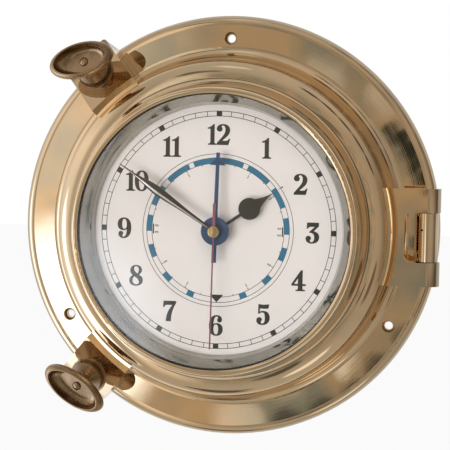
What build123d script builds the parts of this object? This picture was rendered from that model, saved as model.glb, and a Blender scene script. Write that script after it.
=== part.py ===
from build123d import *
import math
import os

# A ship's porthole clock that shows the time and the tide. Lengths are in millimetres.
# Sizes are given in the clock's own sense: x to the right, y up, and h forward from the wall.
# At the end each solid is turned so that +Z is up and the dial faces -Y.

# Shared clearances
overrun = 2.0            # how far a cut runs past the wall it opens
run_gap = 0.05           # radial clearance of a shaft that turns in a bore
face_gap = 0.3           # gap between faces that slide past each other
parting_gap = 0.5        # gap between the closed door and its seat
quarter_turn = 90        # degrees

# Back ring that is screwed to the wall
seat_r = 90.0            # outer radius of the door's seat
seat_h = 28.0            # height of the seat above the wall
seat_t = 3.6             # thickness of the seat
seat_w = 16.8            # width of the seat
flange_w = 26.2          # from the seat's edge out to the rim
flange_t = 6.4           # thickness where the wall screws go through
rim_edge = 1.0           # straight part of the rim, against the wall
cove_w = 9.0             # from the seat's edge out to where the cove meets the flat zone
shell_t = 4.6            # wall of the cove
foot_out = 3.0           # from the seat's edge out to the face against the wall
edge_round = 0.8         # small rounding along cast edges

# Wall screw holes
wall_screw_in = 12.7     # from the rim in to the screws' circle
wall_hole_r = 2.25
wall_sink_r = 3.5
wall_sink_t = 2.2
wall_screw_angles = (90, 210, 330)

# Hinge at three o'clock
hinge_out = 20.0         # from the seat's edge out to the pin
hinge_drop = 2.0         # from the seat down to the pin
hinge_low = 1.4          # how far the hinge's middle is below three o'clock
pin_r = 2.5
barrel_r = 5.7
barrel_len = 25.6
ear_r = 6.9
saddle_len = 51.4        # whole length of the hinge leaf on the door
window_in = 12.0         # from the pin in to where the opening beside the barrel starts
window_round = 3.6
saddle_rise = 5.5        # from the seat up to the leaf's top
saddle_under_drop = 2.4  # from the seat down to the leaf's underside beside the ring
post_foot_in = 8.0       # from the pin in to the post's foot
post_foot_out = 1.6      # from the pin out to the post's foot
oil_hole_r = 0.6
oil_hole_up = 4.0        # how far above the barrel's middle the oil hole is
oil_hole_angle = 27.0    # from straight ahead towards the ring

# Door ring, the hinged casting
door_in = 0.5            # from the seat's edge in to the ring's edge
door_edge_rise = 3.6     # from the seat up to the ring's outer edge
door_crown_rise = 8.4    # from the seat up to the ring's crown
door_crown_in = 8.5      # from the ring's edge in to its crown
door_bow = 0.7           # how far the ring's face bulges
bezel_foot_in = 0.7      # from the ring's crown in to the inner band's foot
groove_w = 0.35          # line between the ring and the inner band
bezel_seat_rise = 5.0    # from the seat up to where the inner band rests in the ring
bezel_foot_w = 4.0       # width of the inner band's foot
ring_bevel_w = 3.8       # width of the sloping band along the lugs' and hinge leaf's inner edge
ring_ledge_w = 1.8       # flat step between the ring and that band
ring_bevel_low = 3.0     # from the seat up to the band's inner edge
ring_bevel_high = 5.5    # from the seat up to the band's outer edge

# Inner band that holds the glass
bezel_rise = 28.5        # from the seat up to the band's front
bezel_wall = 2.0         # wall around the glass
bezel_back_rise = 1.4    # from the seat up to the band's back
bezel_shoulder_rise = 9.2
bezel_waist_drop = 6.9   # from the band's front down to its step
bezel_waist_in = 3.3     # from the foot in to the step
bezel_step = 1.0
bezel_neck_in = 1.5
bezel_neck_drop = 1.9
lip_in = 1.7             # how far the front lip laps over the glass
glass_clear = 0.3
glass_t = 2.2
glass_drop = 3.5         # from the band's front down to the glass's back
lens_gasket_t = 0.8
lens_gasket_w = 2.2

# Reflecting ring between the dial and the glass
reflector_in = 0.2       # from the lens gasket in to the ring's top
reflector_lean = 5.0     # how far the ring narrows towards the dial
reflector_knee_out = 1.3 # from its foot out to where it starts to flare
reflector_knee_rise = 7.0
reflector_t = 1.3
reflector_flange_t = 6.2
reflector_dial_gap = 0.7
press_gap = 0.1

# Door gasket
gasket_edge_in = 6.5     # from the ring's edge in to the gasket
gasket_w = 3.6
gasket_groove_t = 2.0
gasket_lift = 0.3        # gap left under the gasket

# Turning dogs that shut the door
upper_dog_angle = 130.0
lower_dog_angle = 228.7
dog_lean_angle = 21.0    # lean of each dog outward from straight ahead
dog_out = 20.5           # from the seat's edge out to the dog's axis
dog_drop = 1.5           # from the seat down to the top of the lug on the dog's axis
lug_w = 28.5
lug_t = 8.0
lug_out = 11.8           # from the dog's axis to the lug's outer end
lug_in = 26.0            # from the dog's axis into the ring
lug_corner_r = 2.0
boss_deep = 40.0
boss_back_h = 1.5        # height of the bosses' back above the wall
dog_shaft_r = 3.2
tongue_len = 14.0
tongue_w = 5.0
tongue_t = 3.4
tongue_top = 11.8        # from the lug's top down to the tongue
pocket_lip = 3.0
pocket_r = 8.2
pocket_extra = 0.6
slot_extra_w = 0.9
slot_extra_in = 3.6
slot_extra_out = 0.5
dog_washer_r = 10.2
dog_washer_t = 0.9
upper_knob_angle = 61.5  # from straight outward to the knob's long axis
lower_knob_angle = -79.0
knob_len = 37.7
knob_w = 19.8
knob_collar_r = 9.0
knob_neck_r = 6.6
knob_collar_h = 5.0
knob_neck_h = 8.5
knob_h = 18.3
knob_rim_t = 3.4
knob_dish_deep = 5.6
knob_floor_share = 0.56  # radius of the dish's flat floor, of the rim's radius
knob_wall_share = 0.74   # radius halfway up the dish's wall, of the rim's radius
knob_wall_dip_share = 0.62  # depth halfway up the dish's wall, of its whole depth
knob_bolt_r = 2.5
knob_bolt_proud = 1.4

# Can that carries the dial and the movement
can_in = 4.0             # from the glass's edge in to the can's side
can_t = 1.0
can_foot_in = 6.4        # from the seat's edge in to the can's foot
can_foot_t = 1.2
can_foot_h = 10.8
dial_drop = 18.5         # from the inner band's front down to the dial's face
dial_t = 0.8
dial_in = 0.5            # from the can's side in to the dial's edge
can_screw_in = 4.6       # from the foot's edge in to its screws
can_screw_r = 1.5
can_screw_head_r = 2.9
can_screw_head_t = 1.6
can_screw_len = 8.0
can_boss_r = 4.0
can_screw_angles = (30, 150, 270)

# Movement, held behind the dial by its central bush
case_h = 17.4            # from the case's back to its front
case_wall = 1.2
case_corner_r = 3.0
lid_t = 1.4
rubber_t = 1.6
bush_r = 4.0
bush_bore_r = 2.15
bush_proud = 3.2         # how far the bush stands above the dial
washer_r = 6.2
washer_t = 0.5
nut_flats = 11.0
nut_t = 2.1
rubber_r = 11.0
battery_r = 7.1
battery_gap = 0.3        # between the battery and the case's side
battery_end = 3.4        # from the case's side to the battery's end
battery_back = 8.5       # from the case's back to the battery's middle
battery_nub_r = 2.7
battery_nub_t = 1.3
contact_w = 9.0
contact_t = 0.5
partition_gap = 0.4      # between the battery and the partition beside it
wheel_room = 3.0         # between the second wheel's teeth and the partition
plate_back = 3.2         # from the case's back to the gear plate
plate_t = 1.2
pivot_r = 0.6
pivot_deep = 0.8
wheel_t = 1.0
tube_wall = 0.45
second_arbor_r = 0.45

# Gear teeth
pressure_angle = 20.0
tooth_share = 0.42       # width of a tooth at the pitch circle, of the pitch
addendum_share = 0.8     # of the module
dedendum_share = 1.15
second_teeth, second_pinion_teeth = 60, 8
third_teeth, third_pinion_teeth = 60, 8
minute_teeth, cannon_teeth = 64, 12
motion_teeth, motion_pinion_teeth = 36, 10
hour_teeth, moon_teeth = 40, 57
idler_teeth, tide_teeth = 29, 59
set_teeth = 18
second_module = 0.25
motion_module = 0.35
moon_module = 0.22
third_angle = 150.0
motion_angle = 30.0
idler_angle = 90.0
set_angle = 60.0
set_shaft_r = 1.0
set_knob_r = 5.5
set_knob_t = 3.4
set_knob_gap = 0.8
set_knob_grooves = 18
set_knob_groove_r = 0.5
motion_stem_r = 1.1

# Heights of the wheels above the case's back
second_layer = 5.4
third_layer = 7.1
minute_layer = 8.8
motion_layer = 10.4
tide_layer = 11.8
moon_layer = 13.2
hour_layer = 14.5

# Motor and circuit inside the movement
coil_r = 3.0
coil_len = 16.0
coil_core_r = 1.0
coil_core_len = 22.0
coil_side_in, coil_top_in = 13.3, 6.3    # from the case's inner sides in to the coil's middle
stator_w = 5.0
stator_t = 0.8
board_t = 1.0
board_len = 21.0
board_gap = 0.2          # between the board and the partition
board_wall_gap = 0.9     # between the board and the case's side
board_shaft_gap = 1.9    # between the board and the setting shaft
crystal_r = 1.2
crystal_len = 6.2

# Hands: heights above the dial, and lengths from the clock's axis
hour_hand_rise = 4.6
tide_hand_rise = 7.7
minute_hand_rise = 10.1
second_hand_rise = 12.1
hand_t = 0.5
hour_angle, tide_angle, minute_angle, second_angle = 55.5, 1.5, 304.0, 181.0
hour_tip_in, tide_tip_in, minute_tip_in, second_tip_in = 26.9, 28.1, 7.8, 7.6   # in from the dial's edge
hour_bulb_r, hour_stem_w, hour_hub_r = 5.8, 1.6, 3.6
hour_bulb_share = 0.502  # where the bulb is, of the hand's length
hour_shoulder_on, hour_shoulder_w = 4.4, 6.4
hour_taper_share = 0.73
hour_taper_w, hour_tip_w = 2.1, 0.7
minute_at_shares = (0.0, 0.3, 0.48, 0.6, 0.69, 0.76, 0.84, 1.0)  # places along the minute hand
minute_widths = (1.3, 2.5, 4.2, 5.1, 4.1, 2.5, 1.3, 0.5)
minute_hub_r, minute_tail, minute_tail_w = 3.0, 4.0, 1.2
tide_bar_w, tide_neck_w = 2.2, 1.9
tide_head_len, tide_head_w = 5.0, 8.4
tide_head_in = 1.6       # from the hand's end in to its arrowhead's point
tide_tail, tide_tail_w, tide_hub_r = 16.6, 2.5, 7.5
second_w, second_tail, second_tail_w, second_hub_r = 0.75, 14.8, 1.4, 2.3
hub_drop = 0.8           # how far each hub reaches down its tube
cap_r = 3.1
cap_h = 1.5
cap_edge = 0.5           # straight part of the cap's side

# Radii that follow from the ones above
flange_r = seat_r + flange_w
cove_r = seat_r + cove_w
foot_bore_r = seat_r + foot_out
seat_bore_r = seat_r - seat_w
wall_screw_circle_r = flange_r - wall_screw_in
hinge_x = seat_r + hinge_out
window_x = hinge_x - window_in
door_r = seat_r - door_in
door_crown_r = door_r - door_crown_in
bezel_foot_r = door_crown_r - bezel_foot_in
bezel_skirt_r = bezel_foot_r - bezel_foot_w
bezel_waist_r = bezel_foot_r - bezel_waist_in
bezel_neck_r = bezel_waist_r - bezel_neck_in
glass_bore_r = bezel_skirt_r - bezel_wall
glass_r = glass_bore_r - glass_clear
opening_r = glass_r - lip_in
lens_gasket_in_r = glass_r - lens_gasket_w
reflector_top_r = lens_gasket_in_r - reflector_in
reflector_foot_r = reflector_top_r - reflector_lean
gasket_r = door_r - gasket_edge_in
gasket_in_r = gasket_r - gasket_w
dog_axis_r = seat_r + dog_out
can_r = glass_r - can_in
can_foot_r = seat_r - can_foot_in
can_screw_circle_r = can_foot_r - can_screw_in
dial_r = can_r - dial_in

# Heights that follow from the ones above
hinge_h = seat_h - hinge_drop
saddle_h = seat_h + saddle_rise
saddle_under_h = seat_h - saddle_under_drop
door_back_h = seat_h + parting_gap
door_edge_h = seat_h + door_edge_rise
door_crown_h = seat_h + door_crown_rise
bezel_seat_h = seat_h + bezel_seat_rise
ring_bevel_low_h = seat_h + ring_bevel_low
ring_bevel_high_h = seat_h + ring_bevel_high
dog_axis_h = seat_h - dog_drop
bezel_back_h = seat_h + bezel_back_rise
bezel_shoulder_h = seat_h + bezel_shoulder_rise
bezel_front_h = seat_h + bezel_rise
bezel_waist_h = bezel_front_h - bezel_waist_drop
bezel_neck_h = bezel_front_h - bezel_neck_drop
glass_back_h = bezel_front_h - glass_drop
reflector_top_h = glass_back_h - lens_gasket_t
reflector_flange_h = reflector_top_h - reflector_flange_t
dial_h = bezel_front_h - dial_drop
can_front_h = dial_h - dial_t
bush_top_h = dial_h + bush_proud
case_front_h = can_front_h - can_t - rubber_t
case_back_h = case_front_h - case_h
plate_back_h = case_back_h + plate_back
second_layer_h = case_back_h + second_layer
third_layer_h = case_back_h + third_layer
minute_layer_h = case_back_h + minute_layer
motion_layer_h = case_back_h + motion_layer
tide_layer_h = case_back_h + tide_layer
moon_layer_h = case_back_h + moon_layer
hour_layer_h = case_back_h + hour_layer
case_front_t = case_front_h - hour_layer_h - wheel_t - face_gap
case_in_front_h = case_front_h - case_front_t
hour_hand_h = dial_h + hour_hand_rise
tide_hand_h = dial_h + tide_hand_rise
minute_hand_h = dial_h + minute_hand_rise
second_hand_h = dial_h + second_hand_rise

# Places and lengths that follow from the ones above
dog_angles = {"upper": upper_dog_angle, "lower": lower_dog_angle}
knob_angles = {"upper": upper_knob_angle, "lower": lower_knob_angle}
window_half = (barrel_len + 2 * face_gap) / 2
second_wheel_tip_r = second_module * (second_teeth / 2 + addendum_share)
partition_y = -second_wheel_tip_r - wheel_room - case_wall
battery_y = partition_y - partition_gap - battery_r
case_half = battery_gap + battery_r - battery_y
case_w = 2 * (case_half + case_wall)
battery_h = case_back_h + battery_back
battery_len = case_w - 2 * battery_end
coil_x = coil_side_in - case_half
coil_y = case_half - coil_top_in
coil_h = plate_back_h + plate_t + coil_r
hour_tip = dial_r - hour_tip_in
hour_bulb_at = hour_tip * hour_bulb_share
tide_tip = dial_r - tide_tip_in
tide_head_tip = tide_tip - tide_head_in
minute_tip = dial_r - minute_tip_in
second_tip = dial_r - second_tip_in
third_distance = second_module * (second_pinion_teeth + third_teeth) / 2
minute_module = 2 * third_distance / (third_pinion_teeth + minute_teeth)
motion_distance = motion_module * (cannon_teeth + motion_teeth) / 2
hour_module = 2 * motion_distance / (motion_pinion_teeth + hour_teeth)
idler_distance = moon_module * (moon_teeth + idler_teeth) / 2
tide_module = 2 * idler_distance / (tide_teeth + idler_teeth)
set_distance = motion_module * (motion_teeth + set_teeth) / 2

UP = (Align.CENTER, Align.CENTER, Align.MIN)


def turned(outline):
    """A solid of revolution about the clock's axis from (radius, height) edges."""
    return revolve(Plane.XZ * make_face(outline), Axis.Z)


def turned_points(*points):
    return turned(Polyline(*points, close=True))


def disc(radius, low_h, high_h, at=(0, 0)):
    """A cylinder that faces forward."""
    return Pos(at[0], at[1], low_h) * Cylinder(radius, high_h - low_h, align=UP)


def ring(bore_r, radius, low_h, high_h, at=(0, 0)):
    return disc(radius, low_h, high_h, at) - disc(bore_r, low_h, high_h, at)


def domed(radius, rise, base_h):
    """A flat-bottomed dome that faces forward."""
    ball = scale(Sphere(radius), (1, 1, rise / radius))
    return Pos(0, 0, base_h) * (ball & Cylinder(radius + overrun, rise + overrun, align=UP))


def slab(face, low_h, high_h):
    """A flat outline drawn in x and y, raised from one height to another."""
    return Pos(0, 0, low_h) * extrude(face, high_h - low_h)


def around(radius, degrees):
    """The place at a radius and an angle, anticlockwise from three o'clock."""
    return (radius * math.cos(math.radians(degrees)), radius * math.sin(math.radians(degrees)))


def along_hinge(face, length):
    """An outline drawn in x and h, made a bar of the given length along the hinge's pin."""
    return Pos(0, -hinge_low) * extrude(Plane.XZ * face, length / 2, both=True)


# The frame of each dog: x outward down the slope, z along the dog's own axis.
def dog_plane(side):
    lean, turn = math.radians(dog_lean_angle), math.radians(dog_angles[side])
    x, y = around(dog_axis_r, dog_angles[side])
    outward = (math.cos(turn), math.sin(turn))
    slope = (math.cos(lean) * outward[0], math.cos(lean) * outward[1], -math.sin(lean))
    normal = (math.sin(lean) * outward[0], math.sin(lean) * outward[1], math.cos(lean))
    return Plane(origin=(x, y, dog_axis_h), x_dir=slope, z_dir=normal)


def dog_block(side, high, low):
    """The lug's plan, from one depth to another below the lug's top."""
    plan = Pos((lug_out - lug_in) / 2, 0) * RectangleRounded(lug_in + lug_out, lug_w, lug_corner_r)
    return dog_plane(side).location * slab(plan, -low, -high)


def cove_edges():
    roll = flange_t - rim_edge
    return [
        Line((foot_bore_r, 0), (flange_r, 0)),
        Line((flange_r, 0), (flange_r, rim_edge)),
        CenterArc((flange_r - roll, rim_edge), roll, 0, quarter_turn),
        Line((flange_r - roll, flange_t), (cove_r, flange_t)),
        EllipticalCenterArc(
            (cove_r, seat_h), cove_r - seat_r, seat_h - flange_t, 2 * quarter_turn, arc_size=quarter_turn
        ),
        Line((seat_r, seat_h), (seat_bore_r, seat_h)),
        Line((seat_bore_r, seat_h), (seat_bore_r, seat_h - seat_t)),
        Line((seat_bore_r, seat_h - seat_t), (seat_r - shell_t, seat_h - seat_t)),
        ThreePointArc(
            (seat_r - shell_t, seat_h - seat_t),
            (seat_r - shell_t / 2, flange_t + shell_t),
            (foot_bore_r, 0),
        ),
    ]


def knuckle():
    """The hinge barrel and the post that carries it, before the pin's bore."""
    barrel = Pos(hinge_x, hinge_h) * Circle(barrel_r)
    post = make_face(Polyline(
        (hinge_x - barrel_r, hinge_h), (hinge_x - post_foot_in, flange_t / 2),
        (hinge_x + post_foot_out, flange_t / 2), (hinge_x + barrel_r, hinge_h), close=True,
    ))
    return along_hinge(barrel + post, barrel_len)


def dog_boss(side):
    """The boss under one lug, with the pocket that the dog's tongue turns in."""
    top = lug_t + parting_gap
    block = dog_block(side, top, top + boss_deep)
    block -= disc(seat_r - shell_t / 2, -boss_deep, seat_h + boss_deep)
    block &= disc(dog_axis_r + lug_out + lug_w, boss_back_h, seat_h)
    return block


def dog_pocket(side):
    deep = tongue_top + tongue_t + pocket_extra
    top = lug_t + parting_gap
    length = tongue_len + slot_extra_in + slot_extra_out
    mouth = Pos((slot_extra_out - slot_extra_in) / 2, 0) * Rectangle(length, tongue_w + 2 * slot_extra_w)
    slot = slab(mouth, -deep, overrun - top)
    under = disc(pocket_r, -deep, -top - pocket_lip)
    return dog_plane(side).location * (slot + under)


def porthole_flange():
    body = turned(cove_edges())
    body += knuckle()
    for side in dog_angles:
        body += dog_boss(side)
    for side in dog_angles:
        body -= dog_pocket(side)
    for degrees in can_screw_angles:
        at = around(can_screw_circle_r, degrees)
        body += disc(can_boss_r, can_foot_h + can_foot_t, seat_h - seat_t, at)
        body -= disc(can_screw_r, can_foot_h + can_foot_t - overrun, can_foot_h + can_screw_len, at)
    for degrees in wall_screw_angles:
        at = around(wall_screw_circle_r, degrees)
        body -= disc(wall_hole_r, -overrun, flange_t + overrun, at)
        sink = Cone(wall_hole_r, wall_sink_r, wall_sink_t, align=UP)
        body -= Pos(at[0], at[1], flange_t - wall_sink_t) * sink
    body -= along_hinge(Pos(hinge_x, hinge_h) * Circle(pin_r), saddle_len)
    oil_hole = disc(oil_hole_r, pin_r / 2, barrel_r + overrun)
    return body - Pos(hinge_x, oil_hole_up - hinge_low, hinge_h) * Rot(0, -oil_hole_angle, 0) * oil_hole


def hinge_pin():
    return along_hinge(Pos(hinge_x, hinge_h) * Circle(pin_r), saddle_len)


def hinge_leaf():
    """The saddle on the door with its two ears, before the pin's bore."""
    leaf = make_face(Polyline(
        (door_crown_r, saddle_h), (hinge_x, saddle_h), (hinge_x, hinge_h - ear_r),
        (window_x, saddle_under_h - barrel_r / 2), (door_crown_r, saddle_under_h), close=True,
    ))
    leaf = along_hinge(leaf + Pos(hinge_x, hinge_h) * Circle(ear_r), saddle_len)
    reach = hinge_x + 2 * ear_r - window_x
    hole = Pos(window_x + reach / 2, -hinge_low) * RectangleRounded(reach, 2 * window_half, window_round)
    leaf -= slab(hole, 0, 2 * saddle_h)
    return leaf - along_hinge(Pos(hinge_x, hinge_h) * Circle(pin_r + run_gap), 2 * saddle_len)


def trimmed_to_ring(lug):
    """Cuts a lug clear of the ring and of the seat, with the sloping band along its inner edge."""
    lug -= disc(door_r, 0, 2 * bezel_front_h)
    lug -= disc(seat_r + parting_gap, 0, door_back_h)
    ledge_r = door_r + ring_ledge_w
    return lug - turned_points(
        (door_r, ring_bevel_low_h), (ledge_r, ring_bevel_low_h),
        (ledge_r + ring_bevel_w, ring_bevel_high_h),
        (ledge_r + ring_bevel_w, 2 * bezel_front_h), (door_r, 2 * bezel_front_h),
    )


def door_ring():
    middle = ((door_r + door_crown_r) / 2 + door_bow, (door_edge_h + door_crown_h) / 2 + door_bow)
    rebate_r = bezel_foot_r + groove_w
    body = turned([
        Line((bezel_skirt_r, door_back_h), (door_r, door_back_h)),
        Line((door_r, door_back_h), (door_r, door_edge_h)),
        ThreePointArc((door_r, door_edge_h), middle, (door_crown_r, door_crown_h)),
        Line((door_crown_r, door_crown_h), (rebate_r, door_crown_h)),
        Line((rebate_r, door_crown_h), (rebate_r, bezel_seat_h)),
        Line((rebate_r, bezel_seat_h), (bezel_skirt_r, bezel_seat_h)),
        Line((bezel_skirt_r, bezel_seat_h), (bezel_skirt_r, door_back_h)),
    ])
    body -= ring(gasket_in_r, gasket_r, door_back_h - overrun, door_back_h + gasket_groove_t)
    body += trimmed_to_ring(hinge_leaf())
    for side in dog_angles:
        lug = trimmed_to_ring(dog_block(side, 0, lug_t))
        body += lug - dog_plane(side).location * disc(dog_shaft_r + run_gap, -2 * lug_t, lug_t)
    return body


def door_gasket():
    return ring(gasket_in_r, gasket_r, seat_h + gasket_lift, door_back_h + gasket_groove_t)


def glass_lens():
    return disc(glass_r, glass_back_h, glass_back_h + glass_t)


def lens_gasket():
    return ring(lens_gasket_in_r, glass_r, glass_back_h - lens_gasket_t, glass_back_h)


def bezel_ring():
    lip_mid = ((bezel_neck_r + glass_bore_r) / 2, bezel_front_h - edge_round / 2)
    edge = (bezel_foot_r - edge_round, bezel_shoulder_h + edge_round)
    return turned([
        Line((glass_bore_r, bezel_back_h), (bezel_skirt_r, bezel_back_h)),
        Line((bezel_skirt_r, bezel_back_h), (bezel_skirt_r, bezel_seat_h)),
        Line((bezel_skirt_r, bezel_seat_h), (bezel_foot_r, bezel_seat_h)),
        Line((bezel_foot_r, bezel_seat_h), (bezel_foot_r, bezel_shoulder_h)),
        Line((bezel_foot_r, bezel_shoulder_h), edge),
        Line(edge, (bezel_waist_r, bezel_waist_h)),
        Line((bezel_waist_r, bezel_waist_h), (bezel_waist_r - bezel_step, bezel_waist_h)),
        Line((bezel_waist_r - bezel_step, bezel_waist_h), (bezel_neck_r, bezel_neck_h)),
        ThreePointArc((bezel_neck_r, bezel_neck_h), lip_mid, (opening_r + edge_round, bezel_front_h)),
        Line((opening_r + edge_round, bezel_front_h), (opening_r, bezel_front_h - edge_round / 2)),
        Line((opening_r, bezel_front_h - edge_round / 2), (opening_r, glass_back_h + glass_t)),
        Line((opening_r, glass_back_h + glass_t), (glass_bore_r, glass_back_h + glass_t)),
        Line((glass_bore_r, glass_back_h + glass_t), (glass_bore_r, bezel_back_h)),
    ])


def reflector_ring():
    """The polished ring between dial and glass, steep at its foot, which also holds the glass in."""
    top_h = reflector_top_h
    foot_h = dial_h + reflector_dial_gap
    knee_r, knee_h = reflector_foot_r + reflector_knee_out, foot_h + reflector_knee_rise
    slope = (reflector_top_r - knee_r) / (top_h - knee_h)
    flange_in_r = knee_r + slope * (reflector_flange_h - knee_h) + reflector_t
    return turned_points(
        (reflector_foot_r, foot_h), (reflector_foot_r + reflector_t, foot_h),
        (knee_r + reflector_t, knee_h), (flange_in_r, reflector_flange_h),
        (glass_bore_r - press_gap, reflector_flange_h), (glass_bore_r - press_gap, top_h),
        (reflector_top_r, top_h), (knee_r, knee_h),
    )


def knob_neck():
    """The round collar and neck of a hand nut, around its bore."""
    bend = ((knob_collar_r + knob_neck_r) / 2, knob_collar_h)
    top_h = (knob_neck_h + knob_h - knob_dish_deep) / 2
    return turned([
        Line((knob_bolt_r, 0), (knob_collar_r, 0)),
        Line((knob_collar_r, 0), (knob_collar_r, knob_collar_h / 2)),
        ThreePointArc((knob_collar_r, knob_collar_h / 2), bend, (knob_neck_r, knob_neck_h)),
        Line((knob_neck_r, knob_neck_h), (knob_neck_r, top_h)),
        Line((knob_neck_r, top_h), (knob_bolt_r, top_h)),
        Line((knob_bolt_r, top_h), (knob_bolt_r, 0)),
    ])


def knob_head():
    """The dished head of a hand nut: turned, then narrowed across its long axis."""
    rim_r = knob_len / 2
    rim_low_h, floor_h = knob_h - knob_rim_t, knob_h - knob_dish_deep
    under = (rim_r - 2 * knob_rim_t, knob_h - 2 * knob_rim_t)
    rim = (rim_r - knob_rim_t / 4, knob_h - knob_rim_t / 4)
    wall = (rim_r * knob_wall_share, knob_h - knob_dish_deep * knob_wall_dip_share)
    floor = (rim_r * knob_floor_share, floor_h)
    head = turned([
        Line((knob_bolt_r, knob_neck_h), (knob_neck_r, knob_neck_h)),
        ThreePointArc((knob_neck_r, knob_neck_h), under, (rim_r, rim_low_h)),
        ThreePointArc((rim_r, rim_low_h), rim, (rim_r - knob_rim_t, knob_h)),
        ThreePointArc((rim_r - knob_rim_t, knob_h), wall, floor),
        Line(floor, (knob_bolt_r, floor_h)),
        Line((knob_bolt_r, floor_h), (knob_bolt_r, knob_neck_h)),
    ])
    return scale(head, (1, knob_w / knob_len, 1))


def dog_knob(side):
    oval = knob_head() + knob_neck() - disc(knob_bolt_r, -overrun, knob_h)
    return dog_plane(side).location * Pos(0, 0, dog_washer_t) * Rot(0, 0, knob_angles[side]) * oval


def dog_bolt(side):
    """The dog's shaft, with the tongue that turns under the boss's lip."""
    end_h = dog_washer_t + knob_h - knob_dish_deep + knob_bolt_proud
    shaft = disc(dog_shaft_r, -tongue_top, 0) + disc(knob_bolt_r, 0, end_h - knob_bolt_proud)
    shaft += domed(knob_bolt_r, knob_bolt_proud, end_h - knob_bolt_proud)
    tongue = RectangleRounded(tongue_len, tongue_w, tongue_w / 3)
    return dog_plane(side).location * (shaft + slab(tongue, -tongue_top - tongue_t, -tongue_top))


def dog_washer(side):
    return dog_plane(side).location * ring(knob_bolt_r, dog_washer_r, 0, dog_washer_t)


def dial_can():
    """A spun can, open towards the wall, whose front disc carries the dial."""
    body = turned_points(
        (bush_r, can_front_h), (can_r, can_front_h), (can_r, can_foot_h + can_foot_t),
        (can_foot_r, can_foot_h + can_foot_t), (can_foot_r, can_foot_h), (can_r - can_t, can_foot_h),
        (can_r - can_t, can_front_h - can_t), (bush_r, can_front_h - can_t),
    )
    for degrees in can_screw_angles:
        body -= disc(can_screw_r, can_foot_h - overrun, can_front_h, around(can_screw_circle_r, degrees))
    return body


def can_screws():
    screws = []
    for degrees in can_screw_angles:
        at = around(can_screw_circle_r, degrees)
        head = disc(can_screw_head_r, can_foot_h - can_screw_head_t, can_foot_h, at)
        screws.append(head + disc(can_screw_r, can_foot_h, can_foot_h + can_screw_len, at))
    return Compound(children=screws)


# Gears
def involute(angle):
    return math.tan(angle) - angle


def tooth_half_angle(module, teeth, radius):
    """Half of a tooth's angle at a radius, from the involute of its base circle."""
    pitch_r = module * teeth / 2
    base_r = pitch_r * math.cos(math.radians(pressure_angle))
    at_pitch = tooth_share * math.pi / teeth + involute(math.radians(pressure_angle))
    return at_pitch - involute(math.acos(min(base_r / radius, 1)))


def gear(module, teeth, low_h, phase, at=(0, 0)):
    """A spur wheel whose first tooth points along the phase angle."""
    pitch_r = module * teeth / 2
    root_r, tip_r = pitch_r - dedendum_share * module, pitch_r + addendum_share * module
    flank = [root_r + (tip_r - root_r) * step / 3 for step in range(4)]
    points = []
    for tooth in range(teeth):
        centre = phase + 2 * math.pi * tooth / teeth
        rising = [(r, centre - tooth_half_angle(module, teeth, r)) for r in flank]
        falling = [(r, centre + tooth_half_angle(module, teeth, r)) for r in reversed(flank)]
        points += [(r * math.cos(a), r * math.sin(a)) for r, a in rising + falling]
    wheel = slab(make_face(Polyline(*points, close=True)), low_h, low_h + wheel_t)
    return Pos(at[0], at[1]) * wheel


def meshed(line, phase, teeth, other_teeth):
    """The phase of a wheel in mesh with another, where line is the angle from one to the other."""
    turn = (line - phase) * teeth / (2 * math.pi)
    return line + math.pi - (1 / 2 - turn) * 2 * math.pi / other_teeth


def shifted(at, distance, degrees):
    x, y = around(distance, degrees)
    return (at[0] + x, at[1] + y)


third_at = around(third_distance, third_angle)
motion_at = around(motion_distance, motion_angle)
idler_at = around(idler_distance, idler_angle)
set_at = shifted(motion_at, set_distance, set_angle)
board_left, board_right = set_at[0] + set_shaft_r + board_shaft_gap, case_half - board_wall_gap
board_w = board_right - board_left
board_at = ((board_left + board_right) / 2, partition_y + case_wall + board_gap + board_len / 2)
third_phase = meshed(math.radians(third_angle), 0, second_pinion_teeth, third_teeth)
third_pinion_phase = meshed(math.radians(third_angle), 0, minute_teeth, third_pinion_teeth)
motion_phase = meshed(math.radians(motion_angle), 0, cannon_teeth, motion_teeth)
motion_pinion_phase = meshed(math.radians(motion_angle), 0, hour_teeth, motion_pinion_teeth)
idler_phase = meshed(math.radians(idler_angle), 0, moon_teeth, idler_teeth)
idler_tide_phase = meshed(math.radians(idler_angle), 0, tide_teeth, idler_teeth)
set_phase = meshed(math.radians(set_angle), motion_phase, motion_teeth, set_teeth)

minute_bore_r = second_arbor_r + run_gap
minute_tube_r = minute_bore_r + tube_wall
tide_bore_r = minute_tube_r + run_gap
tide_tube_r = tide_bore_r + tube_wall
hour_bore_r = tide_tube_r + run_gap
hour_tube_r = bush_bore_r - run_gap
arbor_low_h = plate_back_h + plate_t - pivot_deep
arbor_high_h = case_in_front_h + pivot_deep


def second_wheel():
    body = disc(second_arbor_r, arbor_low_h, second_hand_h + hand_t)
    body += gear(second_module, second_teeth, second_layer_h, 0)
    return body + gear(second_module, second_pinion_teeth, third_layer_h, 0)


def third_wheel():
    body = disc(pivot_r, arbor_low_h, arbor_high_h, third_at)
    body += gear(second_module, third_teeth, third_layer_h, third_phase, third_at)
    return body + gear(minute_module, third_pinion_teeth, minute_layer_h, third_pinion_phase, third_at)


def minute_wheel():
    body = disc(minute_tube_r, minute_layer_h, minute_hand_h + hand_t)
    body += gear(minute_module, minute_teeth, minute_layer_h, 0)
    body += gear(motion_module, cannon_teeth, motion_layer_h, 0)
    return body - disc(minute_bore_r, minute_layer_h - overrun, second_hand_h)


def motion_wheel():
    body = disc(pivot_r, arbor_low_h, arbor_high_h, motion_at)
    body += disc(motion_stem_r, motion_layer_h, hour_layer_h, motion_at)
    body += gear(motion_module, motion_teeth, motion_layer_h, motion_phase, motion_at)
    return body + gear(hour_module, motion_pinion_teeth, hour_layer_h, motion_pinion_phase, motion_at)


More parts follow.
